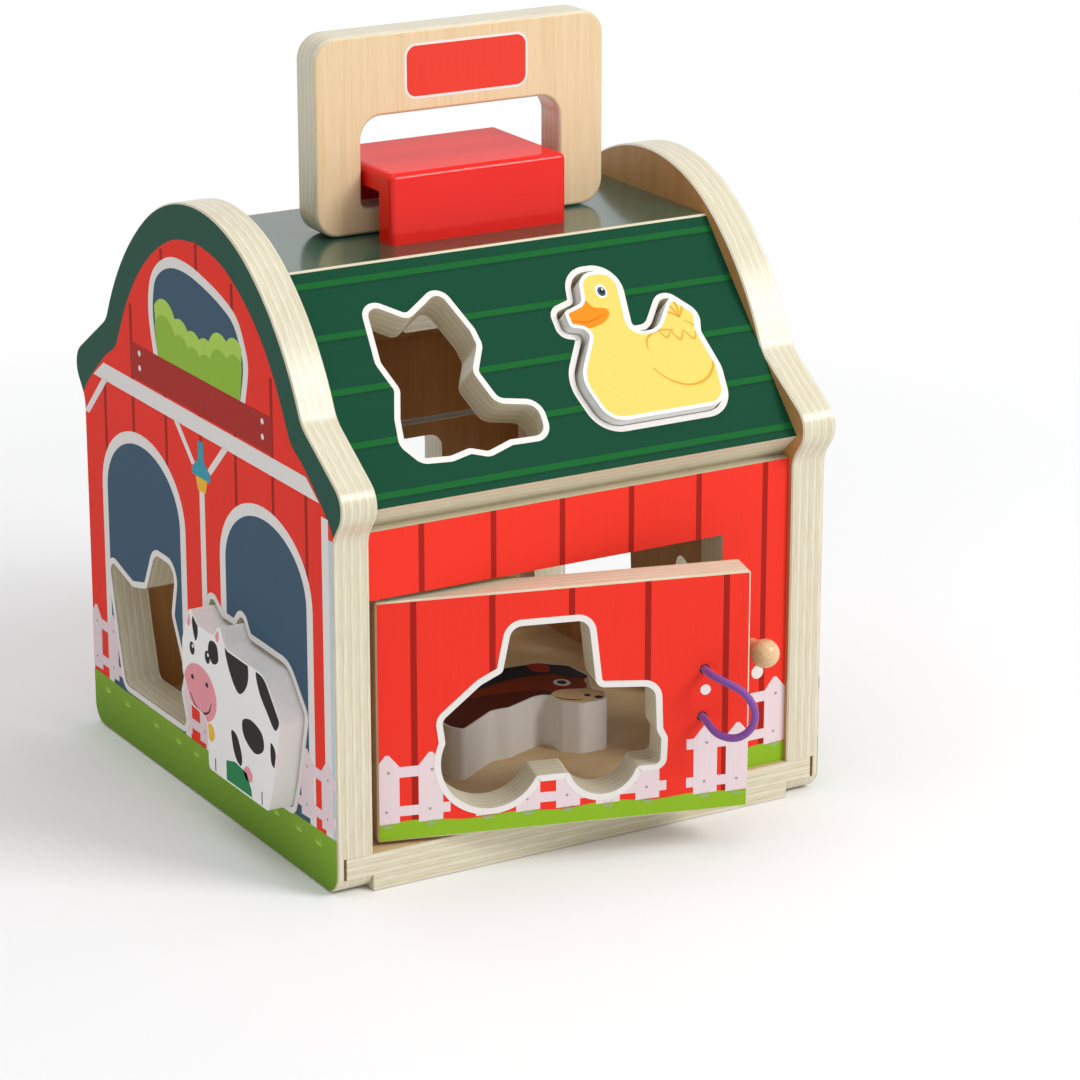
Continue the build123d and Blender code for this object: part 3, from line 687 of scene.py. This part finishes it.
# ---------------------------------------------------------------------------------------------
# Roof: two slopes with shape holes and a flat ridge between them, all printed green. A line of
# bare wood shows where a slope meets the ridge, and along the sawn eave.
# ---------------------------------------------------------------------------------------------
ROOF_PITCH = math.radians(47.7)
EAVE_OUT = 88.9 * MM
EAVE_HEIGHT = 120.2 * MM
roof_green_ink = ink("roof green", "#104730", 0.55, (1, 0, 0))
roof_stripe_ink = ink("roof stripe", "#16622b", 0.55, (1, 0, 0))
roof_shade_ink = ink("roof stripe shade", "#103f2d", 0.55, (1, 0, 0))

for side, turn in wall_facing.items():
    node = side + "_roof_panel"
    out = Vector((0, turn * math.sin(ROOF_PITCH), math.cos(ROOF_PITCH)))
    up_slope = Vector((0, -turn * math.cos(ROOF_PITCH), math.sin(ROOF_PITCH)))
    bare_line = birch_face(side + " roof pale birch veneer", (1, 0, 0), "#e0dac4", "#d5ccb0")
    dress_board(node, out, (1, 0, 0), bare_line)
    placing = drawn_on((0, turn * EAVE_OUT, EAVE_HEIGHT), (-turn, 0, 0), up_slope, out)
    job = start_print(node, out)
    lay_ink(job, placing, 1, roof_green_ink, [box_outline(-75, -2, 75, 78.8)])
    rows = [3.9, 21.0, 38.7, 56.8, 74.4]
    for colour, low, high in ((roof_shade_ink, -1.9, -1.1), (roof_stripe_ink, -1.1, 0.9)):
        lay_ink(job, placing, 2, colour, [box_outline(-75, v + low, 75, v + high) for v in rows])
    lay_rims(job, 3, white_ink, 1.9)
    finish_print(job, side + "_roof_print", "barn")

ridge_ink = ink("lacquered ridge green", "#1f4d3c", 0.2, (1, 0, 0))
ridge_gloss = ridge_ink.node_tree.nodes["Principled BSDF"]
ridge_gloss.inputs["Specular IOR Level"].default_value = 0.5
ridge_gloss.inputs["Coat Weight"].default_value = 0.6
ridge_gloss.inputs["Coat Roughness"].default_value = 0.12
ridge_line = birch_face("ridge pale birch veneer", (1, 0, 0), "#e0dac4", "#d5ccb0")
dress_board("ridge_panel", (0, 0, 1), (1, 0, 0), ridge_line)
placing = drawn_on((0, 0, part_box("ridge_panel")[1].z), (1, 0, 0), (0, 1, 0), (0, 0, 1))
job = start_print("ridge_panel", (0, 0, 1))
lay_ink(job, placing, 1, ridge_ink, [box_outline(-75, -34.7, 75, 34.7)])
finish_print(job, "ridge_print", "barn")


# ---------------------------------------------------------------------------------------------
# Joinery: turned beech dowels glued into the boards, and plain steel pins that the doors turn
# on. Both are all but hidden once the barn is together.
# ---------------------------------------------------------------------------------------------
def plain_finish(node, material):
    node_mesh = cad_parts[node].data
    node_mesh.materials.clear()
    node_mesh.materials.append(material)
    for polygon in node_mesh.polygons:
        polygon.material_index = 0


def beech(name, along, roughness=0.4):
    """Turned and waxed beech: warm tan, with the short dark flecks of its rays."""
    material, tree, shader = new_material(name, "#d6ad7a", roughness)
    fibres = grain(tree, None, 0.5, 9.0, along=along)
    flecks = grain(tree, None, 0.35, 1.6, along=along)
    tones = colour_steps(tree, fibres, [(0.3, "#d9ae7b"), (0.65, "#edca9c")])
    marks = colour_steps(tree, flecks, [(0.34, "#cfa678"), (0.42, "#ffffff")])
    tint_with(tree, shader, 0.45, tones, marks)
    relief(tree, shader, fibres, 0.03, 0.25)
    return material


plain_finish("left_dowels", beech("turned beech left dowels", (1, 0, 0)))
plain_finish("right_dowels", beech("turned beech right dowels", (1, 0, 0)))
plain_finish("wall_foot_dowels", beech("turned beech foot dowels", (0, 0, 1)))

steel, steel_tree, steel_shader = new_material("drawn steel wire", "#b9bcc0", 0.28, Metallic=1.0)
drawn_lines = grain(steel_tree, None, 0.15, 6.0, along=(0, 0, 1))
relief(steel_tree, steel_shader, drawn_lines, 0.01, 0.3)
for side in wall_facing:
    for level in ("upper", "lower"):
        plain_finish(f"{side}_{level}_hinge_pin", steel)


# ---------------------------------------------------------------------------------------------
# Knobs: a turned beech ball on a short waisted neck, glued into each stile. The elastic loop
# of the door hooks over it.
# ---------------------------------------------------------------------------------------------
def turned(name, profile, sides=40):
    """A turned piece along +Z from (height, radius) steps in mm, closed at both ends."""
    deselect()
    height, radius = profile[0]
    bpy.ops.mesh.primitive_circle_add(vertices=sides, radius=radius, location=(0, 0, height))
    piece = bpy.context.object
    piece.name = piece.data.name = name
    bpy.ops.object.mode_set(mode="EDIT")
    bpy.ops.mesh.select_all(action="SELECT")
    for (low, before), (high, after) in zip(profile, profile[1:]):
        rise = {"value": (0, 0, high - low)}
        bpy.ops.mesh.extrude_region_move(TRANSFORM_OT_translate=rise)
        share = after / before
        bpy.ops.transform.resize(value=(share, share, 1), center_override=(0, 0, high))
    bpy.ops.mesh.merge(type="CENTER")
    bpy.ops.object.mode_set(mode="OBJECT")
    mesh = bmesh.new()
    mesh.from_mesh(piece.data)
    rims = [edge for edge in mesh.edges if edge.is_boundary]
    bmesh.ops.holes_fill(mesh, edges=rims, sides=0)
    bmesh.ops.recalc_face_normals(mesh, faces=mesh.faces[:])
    mesh.to_mesh(piece.data)
    mesh.free()
    bpy.ops.object.transform_apply(location=True, rotation=True, scale=True)
    pick(piece)
    bpy.ops.object.shade_smooth_by_angle(angle=math.radians(40))
    return piece


knob_profile = [(-8.0, 2.6), (3.0, 2.6), (3.7, 2.75)]
knob_profile += [
    (8.0 + 4.6 * math.sin(math.radians(a)), 4.6 * math.cos(math.radians(a)))
    for a in range(-50, 89, 8)
]
KNOB_ACROSS = 61.0 * MM
KNOB_UP = 52.7 * MM
for side, turn in wall_facing.items():
    knob = turned(side + "_turned_knob", knob_profile)
    foot = (-turn * KNOB_ACROSS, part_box(side + "_wall")[0 if turn < 0 else 1].y, KNOB_UP)
    knob.data.transform(drawn_on(foot, (-turn, 0, 0), (0, 0, 1), (0, turn, 0)))
    knob.data.materials.append(beech(side + " knob turned beech", (0, 1, 0), 0.36))
    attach(knob, "barn")
    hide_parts(side + "_knob")


# ---------------------------------------------------------------------------------------------
# Doors: plywood boards on steel pins, each with a shape hole and printed red. The front door
# stands partly open. Elastic loops, knotted behind the doors, hook over the knobs.
# ---------------------------------------------------------------------------------------------
PIN_ACROSS = 63.0 * MM
PIN_OUT = 79.0 * MM
PIN_INSET = 6.0 * MM  # from the door's hinge edge, and from both its faces
opening = {"front": math.radians(15.5), "back": 0.0}
door_facing = {}
for side, turn in wall_facing.items():
    swing = Matrix.Rotation((0 if turn < 0 else math.pi) - opening[side], 3, "Z")
    across, out = swing @ Vector((1, 0, 0)), swing @ Vector((0, -1, 0))
    pin = Vector((turn * PIN_ACROSS, turn * PIN_OUT, 0))
    corner = pin - across * PIN_INSET + out * PIN_INSET
    placing = drawn_on(corner, across, (0, 0, 1), out)
    door_facing[side] = (across, out, placing)

    node, body = side + "_door", side + "_door"
    dress_board(node, out, (0, 0, 1), red_ink)
    job = start_print(node, out)
    seams = [11.5, 35.6, 60.1, 83.8, 108.4]
    lay_ink(job, placing, 1, board_joint_ink, board_seams(seams, 100))
    groups = [[3.0, 16.4], [34.0, 46.5, 59.0, 71.5, 84.0], [102.3, 112.6]]
    print_fence(job, placing, 2, groups, 18.8)
    lawn = [(-2, 19.0), (14, 19.6), (28, 18.3), (43, 19.2), (57, 18.4), (72, 19.6), (86, 18.5)]
    lawn += [(99, 19.4), (118, 18.6)]
    lay_ink(job, placing, 2, grass_ink, [lawn_outline(lawn, 10)])
    feet = [u for group in groups for u in group]
    lay_ink(job, placing, 5, tuft_ink, grass_tufts(feet, 17.6, 0.8))
    lay_ink(job, placing, 2, white_ink, [dot(102.1, 52.6, 1.65)])
    lay_rims(job, 6, white_ink)
    finish_print(job, side + "_door_print", body)

CORD = 2.4 * MM
cord_line = [
    (101.8, 59.2, 0.0), (101.8, 59.2, 5.0), (105.2, 58.3, 10.3), (110.2, 56.0, 14.3),
    (113.1, 50.6, 16.3), (112.0, 44.6, 16.0), (107.8, 40.8, 13.6), (102.8, 41.4, 9.8),
    (101.2, 44.0, 4.6), (101.2, 44.0, 0.0),
]  # fmt: skip


def braided_elastic(name):
    """Round elastic cord: purple polyester braid over rubber, with a fine diagonal weave."""
    material, tree, shader = new_material(name, "#7b3f95", 0.62)
    shader.inputs["Sheen Weight"].default_value = 0.35
    shader.inputs["Sheen Roughness"].default_value = 0.4
    place = add_node(tree, "TexCoord").outputs["UV"]
    # 0.45 mm braid threads, drawn a little coarser than they are so that they show.
    stretch = [("Vector", place), ("Scale", (52.3 / 0.9, 7.5 / 0.94, 1.0))]
    laid = add_node(tree, "Mapping", stretch).outputs[0]
    threads = []
    for lean in (math.radians(40), math.radians(-40)):
        slant = [("Vector", laid), ("Rotation", (0, 0, lean))]
        leaning = add_node(tree, "Mapping", slant).outputs[0]
        look = [("Vector", leaning), ("Scale", 0.32), ("Distortion", 0.4)]
        threads.append(add_node(tree, "TexWave", look).outputs["Fac"])
    weave = add_node(tree, "Math", [(0, threads[0]), (1, threads[1])], operation="MAXIMUM")
    shades = colour_steps(tree, weave.outputs[0], [(0.3, "#713889"), (0.95, "#8548a0")])
    tree.links.new(shades, shader.inputs["Base Color"])
    relief(tree, shader, weave.outputs[0], 0.06, 0.35)
    return material


def sweep_cord(name, points, closed=False):
    """A round cord along a smooth NURBS line through the guiding points, in metres."""
    line = bpy.data.curves.new(name, "CURVE")
    line.dimensions = "3D"
    line.bevel_depth = CORD / 2
    line.bevel_resolution = 6
    line.resolution_u = 10
    line.use_fill_caps = True
    spline = line.splines.new("NURBS")
    spline.points.add(len(points) - 1)
    for point, spot in zip(spline.points, points):
        point.co = (*spot, 1)
    spline.order_u = 3
    spline.use_cyclic_u = closed
    spline.use_endpoint_u = not closed
    cord = bpy.data.objects.new(name, line)
    bpy.context.scene.collection.objects.link(cord)
    return cord


elastic = braided_elastic("purple braided elastic")
for side, (across, out, placing) in door_facing.items():
    route = [placing @ Vector(spot) for spot in cord_line]
    loop = sweep_cord(side + "_elastic_loop", route)
    loop.data.materials.append(elastic)

    # Behind the door each end is tied in a plain overhand knot that can't pass its hole.
    knots = []
    for u, up in ((101.8, 59.2), (101.2, 44.0)):
        tied = []
        for step in range(18):
            t = 2 * math.pi * step / 18
            ring = 1.25 + 0.62 * math.cos(3 * t)
            spot = (u + ring * math.cos(2 * t), up + ring * math.sin(2 * t))
            tied.append((*spot, -13.75 + 0.62 * math.sin(3 * t)))
        knots.append(sweep_cord("knot", [placing @ Vector(spot) for spot in tied], closed=True))
        stub = [placing @ Vector((u, up, depth)) for depth in (0, -4, -8, -13.2)]
        knots.append(sweep_cord("stub", stub))
    deselect()
    for piece in knots:
        piece.select_set(True)
    bpy.context.view_layer.objects.active = knots[0]
    bpy.ops.object.convert(target="MESH")
    bpy.ops.object.join()
    tied_ends = bpy.context.object
    tied_ends.name = tied_ends.data.name = side + "_tied_ends"
    tied_ends.data.materials.clear()
    tied_ends.data.materials.append(elastic)
    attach(loop, side + "_door")
    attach(tied_ends, side + "_door")
    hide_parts(side + "_elastic_cord")
    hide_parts(side + "_cord_knots")


# ---------------------------------------------------------------------------------------------
# Carrying handle: a plywood ring with rounded edges, whose lower bar sits in the tunnel of the
# red block. A plain red plate with a white line is printed on its front, without words.
# ---------------------------------------------------------------------------------------------
handle_face = birch_face("carrying handle lacquered birch veneer", (0, 0, 1), "#edd2ab", "#e9cca2")
dress_board("carrying_handle", (0, -1, 0), (0, 0, 1), handle_face)
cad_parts["carrying_handle"].data.materials[1] = handle_face
plate_red_ink = ink("plate red", "#ea4436", 0.45)
placing = drawn_on((0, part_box("carrying_handle")[0].y, 0), (1, 0, 0), (0, 0, 1), (0, -1, 0))


def soft_box(left, foot, right, top, radius):
    """A box outline with round corners."""
    corners = []
    for u, v, start in (
        (right - radius, foot + radius, -90),
        (right - radius, top - radius, 0),
        (left + radius, top - radius, 90),
        (left + radius, foot + radius, 180),
    ):
        corners += arc_points((u, v), radius, radius, start, start + 90, 8)
    return corners


job = start_print("carrying_handle", (0, -1, 0))
lay_ink(job, placing, 1, white_ink, [soft_box(-16.9, 219.6, 26.6, 236.9, 4.0)])
lay_ink(job, placing, 2, plate_red_ink, [soft_box(-16.1, 220.4, 25.8, 236.1, 3.2)])
finish_print(job, "handle_plate_print", "handle")

# ---------------------------------------------------------------------------------------------
# Handle block: a solid wooden block, grooved below for the bar and dipped in gloss red paint.
# Four steel pan-head screws come up through the ridge and hold it.
# ---------------------------------------------------------------------------------------------
gloss_red = ink("dipped gloss red", "#ee1f15", 0.3, (1, 0, 0))
gloss_red.name = "dipped gloss red enamel"
gloss_red_shader = gloss_red.node_tree.nodes["Principled BSDF"]
gloss_red_shader.inputs["Specular IOR Level"].default_value = 0.0
gloss_red_shader.inputs["Coat Weight"].default_value = 0.6
gloss_red_shader.inputs["Coat Roughness"].default_value = 0.1
plain_finish("handle_block", gloss_red)
plain_finish("handle_block_screws", steel)


# ---------------------------------------------------------------------------------------------
# Animal blocks: sawn from thick board, dipped in white paint and printed on one face. The cow
# and the duck stand in their holes, and the horse lies on the floor of the barn.
# ---------------------------------------------------------------------------------------------
def white_dip(name):
    """Sprayed white enamel over sanded wood: soft gloss, with hardly any grain."""
    material, tree, shader = new_material(name, "#f4f2ef", 0.3)
    shader.inputs["Specular IOR Level"].default_value = 0.35
    fibres = grain(tree, None, 0.8, 12.0, along=(0.2, 0.3, 0.93))
    cover = colour_steps(tree, fibres, [(0.25, "#f1efeb"), (0.6, "#f5f3f0")])
    tree.links.new(cover, shader.inputs["Base Color"])
    relief(tree, shader, fibres, 0.015, 0.1)
    return material


brown_black_ink = ink("brown black", "#332b2d")
pink_ink = ink("muzzle pink", "#ee9ba3")
pasture_ink = ink("pasture green", "#2c8552")
duck_ink = ink("duck yellow", "#f5d36c")
feather_ink = ink("feather ochre", "#dfa63d")
beak_ink = ink("beak orange", "#f48f1f")
beak_shade_ink = ink("beak shade", "#e3761a")
pure_white_ink = ink("eye white", "#f7f5f2")
horse_ink = ink("horse brown", "#8a3416")
horse_shade_ink = ink("horse dark brown", "#572210")
mane_ink = ink("mane black", "#2b2a33")
muzzle_ink = ink("muzzle beige", "#e6c594")
forelock_ink = ink("forelock red", "#b23a2a")

# Cow: head low on the left, dark patches, a bell, and grass between its legs.
plain_finish("cow_block", white_dip("cow white enamel"))
cow_at = Vector((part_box("cow_block")[0].x, -33.0 * MM, 18.2 * MM))
placing = drawn_on(cow_at, (0, -1, 0), (0, 0, 1), (-1, 0, 0))
job = start_print("cow_block", (-1, 0, 0), 0.6)
patches = [
    [(-3, 46), (5, 47), (12, 45), (12, 38), (6, 33), (0, 38)],
    [(18, 44), (24, 43.5), (29, 38), (33, 33), (30, 29), (25, 33), (20, 38)],
    [(8, 25), (14, 27), (21, 25), (22, 20), (16, 17), (9, 20)],
    [(0, 19), (4, 18.5), (7, 13), (6, 9.5), (2, 12)],
    [(27, 24), (30, 22), (29.5, 17), (27, 18)],
    [(-26, 47), (-23, 50), (-22, 44), (-24, 41)],
    [(-13.5, 44), (-9, 44), (-8, 39), (-12, 37), (-15, 40)],
]
lay_ink(job, placing, 1, brown_black_ink, [smooth_outline(patch) for patch in patches])
pasture = [(-4, -1), (-4, 8.0), (2, 9.5), (10, 8.5), (13, 4), (14, -1)]
lay_ink(job, placing, 1, pasture_ink, [pasture])
hooves = [box_outline(-19, -1, -4.2, 1.5), box_outline(14.2, -1, 27, 1.5)]
hooves += [box_outline(-11.9, 1, -11.4, 6), box_outline(20, 1, 20.5, 6)]
lay_ink(job, placing, 2, brown_black_ink, hooves)
udder = [(8, 9), (11, 11), (14, 9), (13, 6.5), (9.5, 6.5)]
lay_ink(job, placing, 1, pink_ink, [smooth_outline(udder)])
ears = [dot(-28.6, 46.6, 1.3, 1.8), dot(-8.4, 47.4, 1.3, 1.8)]
lay_ink(job, placing, 2, pink_ink, [dot(-21.5, 24.5, 11.6, 0.78)] + ears)
lay_ink(job, placing, 1, yellow_ink, [dot(-14.6, 13.6, 2.7, 1.05)])
smile = [(-28.5, 22.4), (-25, 19.2), (-20, 18.2), (-15.5, 20.0), (-13.6, 23.4)]
nostrils = [dot(-26.6, 28.2, 1.0, 0.8), dot(-16.4, 28.6, 1.0, 0.8)]
lay_ink(job, placing, 3, brown_black_ink, [brush_line(smile, 0.7, 0.4)] + nostrils)
eyes = [dot(-26.4, 37.6, 1.7, 1.25), dot(-15.6, 38.0, 1.7, 1.25)]
lay_ink(job, placing, 2, brown_black_ink, eyes)
lay_ink(job, placing, 3, pure_white_ink, [dot(-25.8, 38.5, 0.6), dot(-15.0, 38.9, 0.6)])
finish_print(job, "cow_print", "cow")

# Duck: yellow inside a white margin, with an orange beak, a wing and fanned tail feathers.
plain_finish("duck_block", white_dip("duck white enamel"))
slope_out = Vector((0, -math.sin(ROOF_PITCH), math.cos(ROOF_PITCH)))
slope_up = Vector((0, math.cos(ROOF_PITCH), math.sin(ROOF_PITCH)))
duck_at = Vector((31.5 * MM, -EAVE_OUT, EAVE_HEIGHT)) + slope_up * (12.2 * MM)
duck_at += slope_out * (3.5 * MM)
placing = drawn_on(duck_at, (1, 0, 0), slope_up, slope_out)
job = start_print("duck_block", slope_out, 1.2)
lay_ink(job, placing, 1, duck_ink, [box_outline(-30, -5, 30, 60)])
wing = brush_line([(1.5, 22.5), (2.6, 26.5), (7.5, 28.6), (13, 28.0)], 0.75, 0.3)
belly = [(0.5, 16.6), (5, 11.6), (11.5, 9.0), (18, 10.6), (22, 15.5), (22.6, 22), (20.6, 28)]
belly = brush_line(belly + [(17.5, 30.6)], 0.85, 0.3)
fan = []
for lean, reach in ((-62, 5.4), (-35, 7.6), (-8, 8.4), (20, 7.4)):
    turned_by = math.radians(lean)
    tip = (16.4 + reach * math.sin(turned_by), 31.8 + reach * math.cos(turned_by))
    bend = turned_by + 0.25
    bow = (16.4 + reach * 0.55 * math.sin(bend), 31.8 + reach * 0.55 * math.cos(bend))
    fan.append(brush_line([(16.4, 31.8), bow, tip], 0.7, 0.3))
scallops = [
    brush_line([(7.5, 28.6), (9.4, 25.8), (11.6, 28.0)], 0.65, 0.3),
    brush_line([(11.6, 28.0), (13.8, 24.4), (16, 27.6)], 0.65, 0.3),
    brush_line([(16, 27.6), (18.6, 24.0), (20.6, 27.6)], 0.65, 0.3),
]
lay_each(job, placing, 2, feather_ink, [wing, belly])
lay_each(job, placing, 3, feather_ink, fan)
lay_each(job, placing, 2, feather_ink, scallops)
beak = [(-21.6, 37.0), (-19.4, 39.6), (-15.6, 40.2), (-13.4, 42.4), (-11.2, 39.6)]
beak += [(-7.4, 38.6), (-6.9, 36.4), (-10.0, 34.0), (-15.2, 32.9), (-20, 34.0)]
lay_ink(job, placing, 3, beak_ink, [smooth_outline(beak)])
line = brush_line([(-20.6, 36.4), (-15, 35.0), (-8.4, 36.8)], 0.6, 0.3)
lay_ink(job, placing, 4, beak_shade_ink, [line])
lay_ink(job, placing, 2, pure_white_ink, [dot(-17.4, 44.6, 1.5, 1.35), dot(-6.6, 44.6, 2.0, 1.2)])
lay_ink(job, placing, 3, slate_ink, [dot(-17.2, 44.5, 0.95, 1.3), dot(-6.5, 44.4, 1.4, 1.15)])
lay_ink(job, placing, 4, brown_black_ink, [dot(-17.1, 44.5, 0.6, 1.2), dot(-6.4, 44.4, 0.85, 1.1)])
lay_ink(job, placing, 5, pure_white_ink, [dot(-16.9, 45.1, 0.25), dot(-6.0, 45.1, 0.35)])
finish_print(job, "duck_print", "duck")

# Horse: a brown head and neck with a black mane, printed side up.
plain_finish("horse_block", white_dip("horse white enamel"))
horse_at = Vector((6.3 * MM, -51.6 * MM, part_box("horse_block")[1].z))
placing = drawn_on(horse_at, (1, 0, 0), (0, 1, 0), (0, 0, 1))
job = start_print("horse_block", (0, 0, 1), 0.6)
lay_ink(job, placing, 1, horse_ink, [box_outline(-36, -5, 36, 50)])
neck = [(-36, -4), (-14, 8), (0, 10), (10, 14), (12.5, 18.5), (6, 22), (-6, 24.5)]
neck += [(-20, 26), (-36, 24)]
lay_ink(job, placing, 2, horse_shade_ink, [smooth_outline(neck)])
mane = [(-36, 30), (-24, 25.5), (-8, 30.5), (6, 33.6), (17, 32.6), (21, 31.4), (24, 26.4)]
mane += [(30.6, 22.8), (34, 30), (30, 42), (20, 50), (-10, 50), (-36, 44)]
lay_ink(job, placing, 3, mane_ink, [smooth_outline(mane)])
muzzle = [(7, 6), (10.6, 14.6), (15.0, 17.4), (20.5, 15.6), (23.6, 14.6), (25.6, 17.6)]
muzzle += [(27.2, 21.6), (31, 22), (31, 8), (27, 0), (16, -1)]
lay_ink(job, placing, 4, muzzle_ink, [smooth_outline(muzzle)])
forelock = [(16.8, 38.6), (18.2, 46), (23.5, 42), (21.6, 33.6), (17.4, 35.6)]
lay_ink(job, placing, 5, forelock_ink, [smooth_outline(forelock)])
eye = (19.5, 22.8)
lay_ink(job, placing, 5, pure_white_ink, [dot(*eye, 2.7, 1.15)])
lay_ink(job, placing, 6, brown_black_ink, [dot(*eye, 1.5, 1.2)])
lay_ink(job, placing, 7, slate_ink, [dot(20.2, 23.6, 0.6, 1.1)])
lay_ink(job, placing, 5, brown_black_ink, [dot(20.6, 8.7, 1.0, 1.2), dot(22.9, 5.5, 1.3, 1.0)])
grin = brush_line([(10.8, 12.6), (12.6, 9.4), (15.2, 6.8), (17.2, 6.2)], 0.8, 0.4)
lay_ink(job, placing, 5, horse_shade_ink, [grin])
finish_print(job, "horse_print", "horse")
